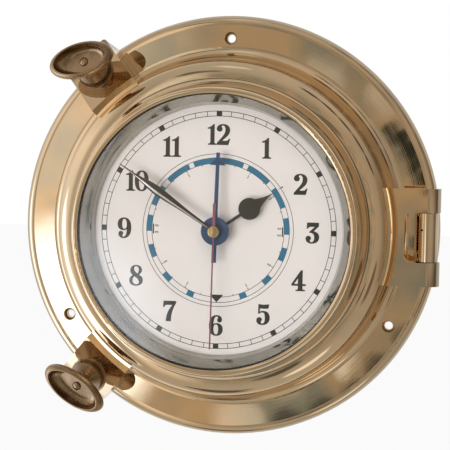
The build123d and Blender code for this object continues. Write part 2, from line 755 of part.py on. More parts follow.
def hour_wheel():
    body = disc(hour_tube_r, moon_layer_h, hour_hand_h + hand_t)
    body += gear(hour_module, hour_teeth, hour_layer_h, 0)
    body += gear(moon_module, moon_teeth, moon_layer_h, 0)
    body += ring(hour_bore_r, 2 * hour_tube_r, moon_layer_h, hour_layer_h)
    return body - disc(hour_bore_r, moon_layer_h - overrun, tide_hand_h)


def tide_idler():
    body = disc(pivot_r, arbor_low_h, arbor_high_h, idler_at)
    body += disc(motion_stem_r, tide_layer_h, moon_layer_h, idler_at)
    body += gear(moon_module, idler_teeth, moon_layer_h, idler_phase, idler_at)
    return body + gear(tide_module, idler_teeth, tide_layer_h, idler_tide_phase, idler_at)


def tide_wheel():
    body = disc(tide_tube_r, tide_layer_h, tide_hand_h + hand_t)
    body += gear(tide_module, tide_teeth, tide_layer_h, 0)
    return body - disc(tide_bore_r, tide_layer_h - overrun, minute_hand_h)


def set_shaft():
    body = disc(set_shaft_r, case_back_h - set_knob_gap - set_knob_t, motion_layer_h, set_at)
    body += disc(pivot_r, motion_layer_h, arbor_high_h, set_at)
    return body + gear(motion_module, set_teeth, motion_layer_h, set_phase, set_at)


def set_knob():
    high_h = case_back_h - set_knob_gap
    body = ring(set_shaft_r, set_knob_r, high_h - set_knob_t, high_h, set_at)
    for groove in range(set_knob_grooves):
        at = shifted(set_at, set_knob_r, 4 * quarter_turn * groove / set_knob_grooves)
        body -= disc(set_knob_groove_r, high_h - set_knob_t - overrun, high_h + overrun, at)
    return body


# Movement case and what it holds
def case_plan(inset):
    return RectangleRounded(case_w - 2 * inset, case_w - 2 * inset, case_corner_r - inset)


def pivot_hole(at, low_h, high_h):
    return disc(pivot_r + run_gap, low_h, high_h, at)


def movement_front_case():
    body = slab(case_plan(0), case_back_h + lid_t, case_front_h)
    body -= slab(case_plan(case_wall), case_back_h, case_in_front_h)
    wall_h = case_back_h + lid_t
    partition = Box(2 * case_half, case_wall, case_in_front_h - wall_h, align=UP)
    body += Pos(0, partition_y + case_wall / 2, wall_h) * partition
    body -= disc(bush_r, case_in_front_h - overrun, case_front_h + overrun)
    for at in (third_at, motion_at, idler_at, set_at):
        body -= pivot_hole(at, case_in_front_h - overrun, arbor_high_h + face_gap)
    return body


def movement_rear_case():
    body = slab(case_plan(0), case_back_h, case_back_h + lid_t)
    bay = Rectangle(battery_len + 2 * battery_nub_t, battery_r * 2)
    body -= slab(Pos(0, battery_y) * bay, 0, case_front_h)
    return body - disc(set_shaft_r + run_gap, 0, case_front_h, set_at)


def gear_plate():
    """The plate inside the movement that carries the wheels' rear pivots."""
    low_y = partition_y + case_wall
    plate = Pos(0, (case_half + low_y) / 2) * Rectangle(2 * case_half, case_half - low_y)
    plate &= case_plan(case_wall)
    body = slab(plate, plate_back_h, plate_back_h + plate_t)
    for at in (third_at, motion_at, idler_at):
        body -= pivot_hole(at, arbor_low_h - face_gap, case_front_h)
    body -= disc(second_arbor_r + run_gap, arbor_low_h - face_gap, case_front_h)
    return body - disc(set_shaft_r + run_gap, 0, case_front_h, set_at)


def centre_bush():
    return ring(bush_bore_r, bush_r, case_in_front_h, bush_top_h)


def rubber_washer():
    return ring(bush_r, rubber_r, case_front_h, case_front_h + rubber_t)


def dial_plate():
    return ring(bush_r, dial_r, can_front_h, dial_h)


def dial_washer():
    return ring(bush_r, washer_r, dial_h, dial_h + washer_t)


def bush_nut():
    low_h = dial_h + washer_t
    flats = RegularPolygon(nut_flats / 2, 6, major_radius=False)
    return slab(flats, low_h, low_h + nut_t) - disc(bush_r, low_h - overrun, low_h + nut_t + overrun)


def along_x(radius, length, x, y, h):
    return Pos(x, y, h) * Rot(0, quarter_turn, 0) * Cylinder(radius, length)


def battery_cell():
    half = battery_len / 2
    cell = along_x(battery_r, battery_len, 0, battery_y, battery_h)
    return cell + along_x(battery_nub_r, battery_nub_t, half + battery_nub_t / 2, battery_y, battery_h)


def battery_contact(sign, inner_x):
    leaf_x = sign * (inner_x + contact_t / 2)
    leaf = Pos(leaf_x, battery_y, battery_h) * Box(contact_t, contact_w, contact_w)
    clip_x = sign * (inner_x + case_half) / 2
    clip_w = case_half - inner_x
    clip = Pos(clip_x, battery_y + contact_w / 2, battery_h) * Box(clip_w, contact_t, contact_w)
    return leaf + clip


def contact_positive():
    return battery_contact(1, battery_len / 2 + battery_nub_t)


def contact_negative():
    return battery_contact(-1, battery_len / 2)


def motor_coil():
    return Pos(coil_x, coil_y, coil_h) * Rot(0, quarter_turn, 0) * (
        Cylinder(coil_r, coil_len) - Cylinder(coil_core_r, coil_len)
    )


def motor_stator():
    """The iron core through the coil, with a leg at each end down to the gear plate."""
    core = along_x(coil_core_r, coil_core_len, coil_x, coil_y, coil_h)
    leg_h = coil_h + coil_core_r - plate_back_h - plate_t
    for sign in (-1, 1):
        x = coil_x + sign * (coil_core_len - stator_t) / 2
        leg = Box(stator_t, stator_w, leg_h, align=UP)
        core += Pos(x, coil_y, plate_back_h + plate_t) * leg
    return core


def circuit_board():
    base_h = plate_back_h + plate_t
    return Pos(board_at[0], board_at[1], base_h) * Box(board_w, board_len, board_t, align=UP)


def quartz_crystal():
    h = plate_back_h + plate_t + board_t + crystal_r
    crystal = Rot(quarter_turn, 0, 0) * Cylinder(crystal_r, crystal_len)
    return Pos(board_at[0], board_at[1], h) * crystal


# Hands, drawn pointing to twelve and then turned clockwise
def hand(face, hub_r, tube_r, low_h, degrees):
    body = slab(face + Circle(hub_r), low_h, low_h + hand_t)
    body += disc(tube_r + tube_wall, low_h - hub_drop, low_h)
    body -= disc(tube_r, low_h - overrun, low_h + hand_t + overrun)
    return Rot(0, 0, -degrees) * body


def bar(width, low_y, high_y):
    return Pos(0, (low_y + high_y) / 2) * Rectangle(width, high_y - low_y)


def hour_hand():
    shoulder = (hour_shoulder_w / 2, hour_bulb_at + hour_shoulder_on)
    tip = (hour_tip_w / 2, hour_tip)
    waist = (hour_taper_w / 2, hour_tip * hour_taper_share)
    taper = make_face([
        ThreePointArc(shoulder, waist, tip),
        Line(tip, (-tip[0], tip[1])),
        ThreePointArc((-tip[0], tip[1]), (-waist[0], waist[1]), (-shoulder[0], shoulder[1])),
        Line((-shoulder[0], shoulder[1]), (0, hour_bulb_at)),
        Line((0, hour_bulb_at), shoulder),
    ])
    face = bar(hour_stem_w, 0, hour_bulb_at) + Pos(0, hour_bulb_at) * Circle(hour_bulb_r) + taper
    return hand(face, hour_hub_r, hour_tube_r, hour_hand_h, hour_angle)


def minute_hand():
    """A slender leaf, widest beyond its middle."""
    places = list(zip(minute_widths, minute_at_shares))
    right = [(width / 2, share * minute_tip) for width, share in places]
    left = [(-x, y) for x, y in reversed(right)]
    face = make_face(Polyline(*right, *left, close=True)) + bar(minute_tail_w, -minute_tail, 0)
    return hand(face, minute_hub_r, minute_tube_r, minute_hand_h, minute_angle)


def tide_hand():
    """A bar with an arrowhead near its end and a short tail."""
    neck_y = tide_head_tip - tide_head_len
    blade = make_face(Polyline(
        (tide_bar_w / 2, 0), (tide_neck_w / 2, neck_y), (-tide_neck_w / 2, neck_y),
        (-tide_bar_w / 2, 0), close=True,
    ))
    head = make_face(Polyline(
        (tide_head_w / 2, neck_y), (0, tide_head_tip), (-tide_head_w / 2, neck_y), close=True,
    ))
    face = blade + head + bar(tide_neck_w, neck_y, tide_tip) + bar(tide_tail_w, -tide_tail, 0)
    return hand(face, tide_hub_r, tide_tube_r, tide_hand_h, tide_angle)


def second_hand():
    face = bar(second_w, 0, second_tip) + bar(second_tail_w, -second_tail, 0)
    return hand(face, second_hub_r, second_arbor_r, second_hand_h, second_angle)


def centre_cap():
    low_h = second_hand_h + hand_t
    return disc(cap_r, low_h, low_h + cap_edge) + domed(cap_r, cap_h - cap_edge, low_h + cap_edge)


PARTS = {
    "porthole_flange": porthole_flange,
    "hinge_pin": hinge_pin,
    "dial_can": dial_can,
    "can_screws": can_screws,
    "dial_plate": dial_plate,
    "dial_washer": dial_washer,
    "bush_nut": bush_nut,
    "centre_bush": centre_bush,
    "rubber_washer": rubber_washer,
    "movement_front_case": movement_front_case,
    "movement_rear_case": movement_rear_case,
    "gear_plate": gear_plate,
    "battery_cell": battery_cell,
    "battery_contact_positive": contact_positive,
    "battery_contact_negative": contact_negative,
    "motor_coil": motor_coil,
    "motor_stator": motor_stator,
    "circuit_board": circuit_board,
    "quartz_crystal": quartz_crystal,
    "door_ring": door_ring,
    "door_gasket": door_gasket,
    "bezel_ring": bezel_ring,
    "glass_lens": glass_lens,
    "lens_gasket": lens_gasket,
    "reflector_ring": reflector_ring,
    "second_wheel": second_wheel,
    "second_hand": second_hand,
    "centre_cap": centre_cap,
    "third_wheel": third_wheel,
    "minute_wheel": minute_wheel,
    "minute_hand": minute_hand,
    "motion_wheel": motion_wheel,
    "hour_wheel": hour_wheel,
    "hour_hand": hour_hand,
    "tide_idler": tide_idler,
    "tide_wheel": tide_wheel,
    "tide_hand": tide_hand,
    "set_shaft": set_shaft,
    "set_knob": set_knob,
}

# The clock's own frame, turned so that up is +Z and the dial faces -Y
FACING = Plane(origin=(0, 0, 0), x_dir=(1, 0, 0), z_dir=(0, -1, 0)).location

os.makedirs("parts", exist_ok=True)
for name, make in PARTS.items():
    export_step(FACING * make(), f"parts/{name}.step")
for side in dog_angles:
    export_step(FACING * dog_knob(side), f"parts/{side}_dog_knob.step")
    export_step(FACING * dog_bolt(side), f"parts/{side}_dog_bolt.step")
    export_step(FACING * dog_washer(side), f"parts/{side}_dog_washer.step")
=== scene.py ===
"""The looks of a ship's porthole clock that shows the time and the tide.

Lengths in the drawing helpers are in millimetres in the clock's own sense: x to the right,
y up and h forward from the wall. Blender's own coordinates are metres: +Z up, dial facing -Y.
"""
import math

import bmesh
import bpy
from mathutils import Matrix, Vector


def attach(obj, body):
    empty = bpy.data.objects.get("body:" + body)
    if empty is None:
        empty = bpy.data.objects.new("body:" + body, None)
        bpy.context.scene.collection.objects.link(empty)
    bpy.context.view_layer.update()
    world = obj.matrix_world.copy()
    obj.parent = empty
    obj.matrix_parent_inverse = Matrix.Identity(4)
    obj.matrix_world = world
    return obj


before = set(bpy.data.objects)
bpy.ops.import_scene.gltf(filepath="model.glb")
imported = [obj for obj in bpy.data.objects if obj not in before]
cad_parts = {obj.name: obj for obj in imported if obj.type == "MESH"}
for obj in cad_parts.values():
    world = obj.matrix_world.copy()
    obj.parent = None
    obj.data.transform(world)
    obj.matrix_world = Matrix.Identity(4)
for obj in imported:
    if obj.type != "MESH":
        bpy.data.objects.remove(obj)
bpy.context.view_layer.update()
MM = 0.001

# The dial's print
DIAL_H = 38.0
INK_LOW, INK_HIGH = 0.012, 0.045
PRINT_LOW, PRINT_HIGH = DIAL_H + INK_LOW, DIAL_H + INK_HIGH
PRINT_OVER = PRINT_HIGH + INK_LOW
HOUR_STEP, MINUTE_STEP = 30, 6
TRACK_IN_R, TRACK_OUT_R = 60.6, 63.2
LINE_W = 0.34
BLOCK_W = 3.0
NUMERAL_R, NUMERAL_H = 50.8, 10.7
ARC_STEP = 2.0

# The tide ring, alike on its left and right sides; spans are in degrees from twelve
SIDES = (-1, 1)
THIN_SHARE = 0.85
TIDE_LINE_R = 40.6
BAND_IN_R, BAND_OUT_R = 35.6, 38.5
BAND_SPANS = ((0, 21), (25, 46), (52.5, 70), (78.5, 92), (103, 114), (129.5, 137.5), (154.5, 160.5))
HOUR_OF_TIDE = 360 / 12.42
TIDE_HOURS = (0.5, 1, 1.5, 2, 2.5, 3)
WHOLE_TICK, HALF_TICK = 1.3, 0.8
SMALL_DIGIT_H, SMALL_DIGIT_DROP = 1.7, 2.6
SIDE_ARC_IN, SIDE_ARC_OUT, SIDE_ARC_OVERLAP = 1.1, 0.4, 1.2
POINTER = ((-3.7, -34.3), (3.7, -34.3), (0, -38.4))

# The minute hand's flanks, over the solid hand; the lower flank is a painted highlight in bright metal
MINUTE_ANGLE, MINUTE_TIP, MINUTE_TOP = 304.0, 61.2, 48.6
MINUTE_SHARES = (0.07, 0.3, 0.48, 0.6, 0.69, 0.76, 0.84, 1.0)
MINUTE_WIDTHS = (1.5, 2.5, 4.2, 5.1, 4.1, 2.5, 1.3, 0.5)
HIGHLIGHT_REACH, BLACK_REACH = 0.62, 0.97
RIDGE_OFFSET, FACET_SLOPE, FACET_SINK, FACET_EDGE = 0.12, 0.42, 0.05, 0.02

# The photograph's view
VIEW_AT = (2.485, -30.0, 2.426)
VIEW_AZIMUTH, VIEW_RISE, VIEW_ROLL = 9.754, 3.539, 0.975
VIEW_DISTANCE = 800.0
FOCAL_PIXELS, PHOTO_PIXELS = 1491.4, 450
SENSOR = 36.0
CLIP_NEAR, CLIP_FAR = 0.01, 50.0

# The floor and the lamps; each lamp has its place, its size and its power
FLOOR_Z, FLOOR_HALF, FLOOR_CELLS = -0.40, 6.0, 8
FLOOR_WHITE, FLOOR_ROUGHNESS, FLOOR_PATCH = 0.94, 0.9, 2.0
FLOOR_TINTS = ((0.2, (0.80, 0.80, 0.79)), (0.8, (0.84, 0.835, 0.83)))
LAMPS = (("key", (-0.34, -1.1, -0.20), (0.62, 0.62), 10.2),
         ("fill", (0.25, -1.1, 0.6), (1.2, 1.0), 12.2))

# The room that the metal mirrors: its colours from left to right and, towards the floor and the
# ceiling, from bottom to top
ROOM_SIDE = (
    (0.0, (1.15, 1.08, 0.98)), (0.10, (1.08, 1.00, 0.91)), (0.17, (0.66, 0.58, 0.48)),
    (0.25, (0.46, 0.41, 0.34)), (0.29, (0.95, 0.88, 0.80)), (0.350, (1.08, 0.97, 0.82)),
    (0.374, (0.88, 0.76, 0.63)), (0.396, (0.46, 0.41, 0.33)), (0.46, (0.38, 0.335, 0.265)),
    (0.62, (0.42, 0.37, 0.30)), (0.80, (0.47, 0.42, 0.35)), (0.93, (0.42, 0.37, 0.31)),
    (1.0, (0.22, 0.19, 0.15)))
ROOM_LIFT = (
    (0.0, (0.56, 0.52, 0.44)), (0.35, (0.48, 0.43, 0.36)), (0.6, (0.42, 0.38, 0.31)),
    (1.0, (0.60, 0.55, 0.47)))
LIFT_SPAN = (0.35, 0.85)
BEHIND_SPAN, BEHIND_WHITE = (0.05, 0.30), (0.9, 0.9, 0.9)
DIFFUSE_SHARE = 0.4

# Slow changes of brightness and tint in the part of the room ahead of the clock
CLOUD_SCALE, CLOUD_DETAIL = 17.0, 3.0
CLOUD_TINTS = ((0.41, (0.66, 0.79, 0.90)), (0.59, (1.20, 1.07, 0.92)))
CLOUD_SPAN = (0.72, 0.94)

# Noise that makes the edges of the room's patches uneven: its scale and how far it shifts them
BROAD_WAVER, STREAK_WAVER, SMALL_WAVER = (3.4, 0.26), (11.0, 0.06), (40.0, 0.016)
WAVER_DETAIL = 2.0

# Broad patches of the room: colour, direction, inner and outer size in degrees, strength
SHADOW_DARK = (0.08, 0.065, 0.055)
BROAD_PATCHES = (
    ((0.10, 0.08, 0.07), (0.22, -0.92, 0.30), 2, 5, 0.7),
    (SHADOW_DARK, (0.05, -0.80, -0.60), 3, 7, 0.85),
    (SHADOW_DARK, (0.42, -0.85, -0.32), 2, 5, 0.85),
    ((0.10, 0.085, 0.075), (0.74, -0.58, -0.36), 4, 9, 0.8),
    (SHADOW_DARK, (-0.30, -0.60, 0.74), 3, 7, 0.75),
    ((2.1, 2.3, 2.6), (-0.80, -0.26, -0.50), 13, 21, 1.0),
    ((2.0, 2.2, 2.5), (-0.93, -0.26, -0.16), 9, 16, 1.0),
    ((1.2, 1.15, 1.1), (0.35, -0.40, -0.80), 6, 10, 1.0),
    ((1.0, 0.97, 0.92), (-0.10, -0.30, 0.95), 5, 10, 0.8),
    ((0.10, 0.085, 0.07), (-0.15, -0.10, -0.98), 6, 11, 0.9))

# Dark patches on an arc to the upper right, which the ring mirrors as leaf shapes
STREAK_ANGLES, STREAK_TILT, STREAK_LEAN = (24, 33, 42, 51, 60), 0.30, -0.07
STREAK_DARK, STREAK_INNER, STREAK_OUTER, STREAK_STRENGTH = (0.07, 0.05, 0.035), 3.0, 6.0, 0.9

# The bright window low on the left: colour, direction, inner and outer size in degrees, strength
WINDOW = ((2.5, 2.75, 3.1), (-0.272, -0.953, -0.128), 2.2, 4.6, 1.0)

# Small shapes of the room that the flat brass mirrors: across, rise, size in degrees, strength.
# The colour and the inner share of the size are alike within a table.
SMALL_LIGHT, SMALL_LIGHT_INNER = (0.95, 0.93, 0.88), 0.3
SMALL_LIGHTS = ((-0.090, -0.156, 0.5, 0.8), (-0.083, -0.150, 0.4, 0.6), (-0.110, 0.035, 1.2, 0.35),
                (-0.128, -0.172, 0.8, 0.35), (-0.160, -0.199, 1.4, 0.6), (-0.066, 0.026, 0.8, 0.3),
                (-0.291, -0.011, 2.4, 0.6), (-0.219, 0.063, 2.0, 0.25))
SMALL_DARK, SMALL_DARK_INNER = (0.035, 0.038, 0.03), 0.5
SMALL_DARKS = ((-0.060, 0.006, 0.38, 0.9), (-0.055, -0.001, 0.48, 1.0), (-0.050, -0.009, 0.50, 1.0),
               (-0.047, 0.004, 0.30, 0.7), (-0.042, -0.004, 0.36, 0.9), (-0.044, -0.018, 0.50, 1.0),
               (-0.036, -0.013, 0.36, 0.9), (-0.037, -0.027, 0.48, 1.0), (-0.030, -0.024, 0.34, 0.9),
               (-0.029, -0.036, 0.45, 1.0), (-0.033, -0.060, 0.5, 0.8), (-0.039, -0.072, 0.4, 0.7),
               (-0.122, -0.203, 0.9, 0.8), (-0.100, -0.191, 0.9, 0.85), (-0.077, -0.177, 0.9, 0.9),
               (-0.060, -0.160, 0.8, 0.85), (-0.046, -0.138, 0.7, 0.8))


def place(x, y, h):
    """A point of the clock in Blender's coordinates."""
    return Vector((x * MM, -h * MM, y * MM))


def clockwise(radius, degrees):
    """The place at a radius and an angle, clockwise from twelve."""
    a = math.radians(degrees)
    return radius * math.sin(a), radius * math.cos(a)


def mesh_piece(name, bm, body, look):
    """Makes a piece of the faces drawn so far; it moves with a body and wears a look."""
    mesh = bpy.data.meshes.new(name)
    bmesh.ops.recalc_face_normals(bm, faces=bm.faces)
    bm.to_mesh(mesh)
    bm.free()
    piece = bpy.data.objects.new(name, mesh)
    bpy.context.scene.collection.objects.link(piece)
    mesh.materials.append(LOOKS[look].material)
    for polygon in mesh.polygons:
        polygon.use_smooth = False
    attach(piece, body)


# Flat print
def prism(bm, outline, low, high):
    """A flat outline raised from one height to another."""
    under = [bm.verts.new(place(x, y, low)) for x, y in outline]
    over = [bm.verts.new(place(x, y, high)) for x, y in outline]
    count = len(outline)
    bm.faces.new(under)
    bm.faces.new(over)
    for i in range(count):
        j = (i + 1) % count
        bm.faces.new((under[i], under[j], over[j], over[i]))


def tube(bm, loops, closed=False):
    """A skin over a row of corner loops; it has two ends unless it is closed."""
    following = loops[1:] + loops[:1] if closed else loops[1:]
    corners = len(loops[0])
    for a, b in zip(loops, following):
        for i in range(corners):
            j = (i + 1) % corners
            bm.faces.new((a[i], a[j], b[j], b[i]))
    if not closed:
        bm.faces.new(loops[0])
        bm.faces.new(loops[-1])


def band(bm, inner_r, outer_r, start, end, low, high):
    """A piece of a flat ring, from one clockwise angle to another; a whole ring has no ends."""
    whole = abs(end - start) >= 360
    count = max(1, round(abs(end - start) / ARC_STEP))
    loops = []
    for i in range(count if whole else count + 1):
        angle = start + (end - start) * i / count
        corners = []
        for radius, h in ((inner_r, low), (outer_r, low), (outer_r, high), (inner_r, high)):
            x, y = clockwise(radius, angle)
            corners.append(bm.verts.new(place(x, y, h)))
        loops.append(corners)
    tube(bm, loops, whole)


def ring(bm, radius, width):
    """A thin printed line all the way round."""
    band(bm, radius - width / 2, radius + width / 2, 0, 360, PRINT_LOW, PRINT_HIGH)


def spoke(bm, inner_r, outer_r, degrees):
    """A short printed line along a radius."""
    a = math.radians(degrees)
    across = (math.cos(a) * LINE_W / 2, -math.sin(a) * LINE_W / 2)
    outline = []
    for radius, side in ((inner_r, -1), (inner_r, 1), (outer_r, 1), (outer_r, -1)):
        x, y = clockwise(radius, degrees)
        outline.append((x + side * across[0], y + side * across[1]))
    prism(bm, outline, PRINT_LOW, PRINT_HIGH)


# Numerals: closed outlines in a box 100 high, in the order of drawing commands
GLYPHS = {
    "0": (66, "M 33 101 C 54 101 63 78 63 50 C 63 22 54 -1 33 -1 C 12 -1 3 22 3 50 C 3 78 12 101 33 101 Z "
              "M 33 96 C 24 96 20 82 20 50 C 20 18 24 4 33 4 C 42 4 46 18 46 50 C 46 82 42 96 33 96 Z"),
    "1": (50, "M 6 0 L 48 0 L 48 4 C 39 4.5 36.5 7 36.5 15 L 36.5 100 L 32 100 C 26 92 17 86 4 83 "
              "L 4 79 L 18 79 L 18 15 C 18 7 15 4.5 6 4 Z"),
    "2": (66, "M 4 0 L 54 0 L 61 29 L 57 29 C 53 21 50 18.5 42 18.5 L 26 18.5 C 34 33 60 44 60 72 "
              "C 60 90 48 101 31 101 C 15 101 4 91 4 79 C 4 71 9 66 16 66 C 23 66 27 71 27 77 "
              "C 27 83 23 85 23 89 C 23 93 26 96 30 96 C 38 96 42 88 42 74 C 42 48 20 32 4 6 Z"),
    "3": (66, "M 8 72 L 12 72 C 14 79 17 81.5 24 81.5 L 44 81.5 L 19 55 L 19 52 C 32 53 41 45 41 28 "
              "C 41 12 36 4 28 4 C 23 4 20 7 20 11 C 20 15 25 18 25 24 C 25 31 20 35 14.5 35 "
              "C 8 35 4 29 4 22 C 4 8 14 -1 29 -1 C 48 -1 60 11 60 30 C 60 46 50 56 35 58 "
              "L 58 84 L 58 100 L 9 100 Z"),
    "4": (66, "M 2 26 L 30 26 L 30 15 C 30 7 28 4.5 20 4 L 20 0 L 59 0 L 59 4 C 50 4.5 48 7 48 15 "
              "L 48 26 L 62 26 L 62 33 L 48 33 L 48 101 L 42 101 L 2 33 Z M 30 33 L 11 33 L 30 66 Z"),
    "5": (66, "M 12 101 C 24 97 40 97 57 101 L 54 82 C 42 79 28 79 18 82 L 16 61 C 20 65 26 67 33 67 "
              "C 50 67 60 53 60 34 C 60 12 47 -1 28 -1 C 13 -1 4 8 4 20 C 4 29 9 35 15.5 35 "
              "C 22 35 26 31 26 25 C 26 19 21 16 21 11 C 21 7 24 4 29 4 C 37 4 41 14 41 33 "
              "C 41 52 37 61 29 61 C 22 61 18 58 15 54 L 11 55 Z"),
    "6": (66, "M 58 81 C 58 93 48 101 36 101 C 15 101 3 80 3 48 C 3 16 15 -1 34 -1 C 51 -1 62 12 62 31 "
              "C 62 49 52 61 37 61 C 30 61 24 58 21 53 C 21 80 26 96 36 96 C 40 96 43 93 43 89 "
              "C 43 85 39 83 39 77 C 39 71 43 67 49 67 C 55 67 58 73 58 81 Z "
              "M 33 56 C 40 56 44 47 44 31 C 44 13 40 4 34 4 C 25 4 21 15 21 34 C 21 48 25 56 33 56 Z"),
    "7": (62, "M 3 70 L 7 70 C 9 78 13 82 22 82 L 46 82 C 30 62 18 38 16 0 L 37 0 C 36 38 46 64 59 92 "
              "L 59 100 L 5 100 Z"),
    "8": (66, "M 33 101 C 48 101 58 92 58 78 C 58 67 52 59 43 54 C 55 48 62 39 62 27 C 62 10 51 -1 33 -1 "
              "C 15 -1 4 9 4 25 C 4 37 10 45 21 50 C 12 56 8 64 8 75 C 8 91 18 101 33 101 Z "
              "M 33 96.5 C 26 96.5 22.5 91 22.5 84 C 22.5 74 29 66 38 58 C 44 63 46 70 46 79 "
              "C 46 91 41 96.5 33 96.5 Z "
              "M 26 46 C 19 41 16 34 16 25 C 16 12 23 4 33 4 C 42 4 47 9 47 17 C 47 29 37 38 26 46 Z"),
}
DIGIT_TIGHT, DIGIT_BOLD, DIGIT_WIDE = 5, 1.3, 1.15
GLYPH_BOX, GLYPH_STEPS = 100, 8
SAME_PLACE = 1e-6


def glyph_splines(data, digit, origin_x):
    """Adds one digit's outlines to a curve, with its left side at origin_x; returns its width."""
    width, drawing = GLYPHS["6" if digit == "9" else digit]
    wide = 1.0 if digit == "1" else DIGIT_WIDE

    def spot(x, y):
        if digit == "9":
            x, y = width - x, GLYPH_BOX - y
        return Vector((origin_x + x * wide, y, 0))

    tokens = drawing.split()
    knots, i = [], 0
    while i < len(tokens):
        command = tokens[i]
        if command in "ML":
            knots.append([None, spot(float(tokens[i + 1]), float(tokens[i + 2])), None])
            i += 3
        elif command == "C":
            numbers = [float(t) for t in tokens[i + 1:i + 7]]
            knots[-1][2] = spot(*numbers[0:2])
            knots.append([spot(*numbers[2:4]), spot(*numbers[4:6]), None])
            i += 7
        else:
            if (knots[0][1] - knots[-1][1]).length < SAME_PLACE:
                knots[0][0] = knots[-1][0]
                knots.pop()
            closed_spline(data, knots)
            knots = []
            i += 1
    return width * wide


def closed_spline(data, knots):
    """Adds a closed outline to a curve; a knot is the handle before, the point, the handle after."""
    spline = data.splines.new("BEZIER")
    spline.bezier_points.add(len(knots) - 1)
    spline.use_cyclic_u = True
    for k, (before, at, after) in enumerate(knots):
        point = spline.bezier_points[k]
        point.handle_left_type = point.handle_right_type = "FREE"
        point.co = at
        last, following = knots[k - 1][1], knots[(k + 1) % len(knots)][1]
        point.handle_left = before or at + (last - at) / 3
        point.handle_right = after or at + (following - at) / 3


def add_number(bm, text, x, y, height, turn=0.0):
    """A whole number as raised print, centred on a place and turned clockwise."""
    data = bpy.data.curves.new("number", "CURVE")
    data.dimensions, data.fill_mode = "2D", "BOTH"
    data.resolution_u = GLYPH_STEPS
    along = 0.0
    for digit in text:
        along += glyph_splines(data, digit, along) - DIGIT_TIGHT
    along += DIGIT_TIGHT
    data.extrude = (PRINT_HIGH - PRINT_LOW) / 2 * GLYPH_BOX / height
    data.offset = DIGIT_BOLD
    holder = bpy.data.objects.new("number", data)
    mesh = bpy.data.meshes.new_from_object(holder)
    size = height / GLYPH_BOX
    spin = Matrix.Rotation(-math.radians(turn), 4, "Z")
    centre = Matrix.Translation(Vector((-along / 2, -GLYPH_BOX / 2, 0)))
    to_world = (Matrix.Translation(place(x, y, (PRINT_LOW + PRINT_HIGH) / 2))
                @ Matrix.Rotation(math.pi / 2, 4, "X") @ spin
                @ Matrix.Scale(size * MM, 4) @ centre)
    mesh.transform(to_world)
    bm.from_mesh(mesh)
    bpy.data.objects.remove(holder)
    bpy.data.curves.remove(data)
    bpy.data.meshes.remove(mesh)


# Materials
SMOOTH = "SMOOTHSTEP"
MIX_INPUTS, MIX_OUTPUT = (0, 6, 7), 2


class Nodes:
    """A node tree, with short ways to add to it. What goes from node to node is a socket."""

    def __init__(self, owner):
        owner.use_nodes = True
        self.tree = owner.node_tree
        self.tree.nodes.clear()

    def add(self, kind, **settings):
        node = self.tree.nodes.new(kind)
        for key, value in settings.items():
            setattr(node, key, value)
        return node

    def feed(self, socket, value):
        """Joins an input to an output, or sets it to a number, a vector or a colour."""
        if isinstance(value, bpy.types.NodeSocket):
            self.tree.links.new(value, socket)
        elif socket.type == "RGBA":
            socket.default_value = (*value, 1.0)
        else:
            socket.default_value = value

    def ray(self, kind):
        """One for a kind of ray, such as Is Camera Ray, and zero for the others."""
        return self.add("ShaderNodeLightPath").outputs[kind]

    def grain(self, where, scale, detail, roughness=0.5):
        """The outputs of a noise texture."""
        node = self.add("ShaderNodeTexNoise")
        node.inputs["Scale"].default_value = scale
        node.inputs["Detail"].default_value = detail
        node.inputs["Roughness"].default_value = roughness
        self.feed(node.inputs["Vector"], where)
        return node.outputs

    def ramp(self, source, stops):
        """Colours along a value; each stop is a position and a colour."""
        node = self.add("ShaderNodeValToRGB")
        elements = node.color_ramp.elements
        while len(elements) < len(stops):
            elements.new(0.5)
        for element, (position, colour) in zip(elements, stops):
            element.position = position
            element.color = (*colour, 1.0)
        self.feed(node.inputs["Fac"], source)
        return node.outputs["Color"]

    def spread(self, source, span, to=(0.0, 1.0), kind="LINEAR"):
        """A value taken from one span to another, and held at its ends."""
        node = self.add("ShaderNodeMapRange", interpolation_type=kind)
        for name, value in zip(("From Min", "From Max", "To Min", "To Max"), (*span, *to)):
            node.inputs[name].default_value = value
        self.feed(node.inputs["Value"], source)
        return node.outputs["Result"]

    def number(self, operation, a, b=0.0):
        """A sum on two numbers."""
        node = self.add("ShaderNodeMath", operation=operation)
        self.feed(node.inputs[0], a)
        self.feed(node.inputs[1], b)
        return node.outputs["Value"]

    def vector(self, operation, *values):
        """The outputs of a sum on vectors."""
        node = self.add("ShaderNodeVectorMath", operation=operation)
        for socket, value in zip(node.inputs, values):
            self.feed(socket, value)
        return node.outputs


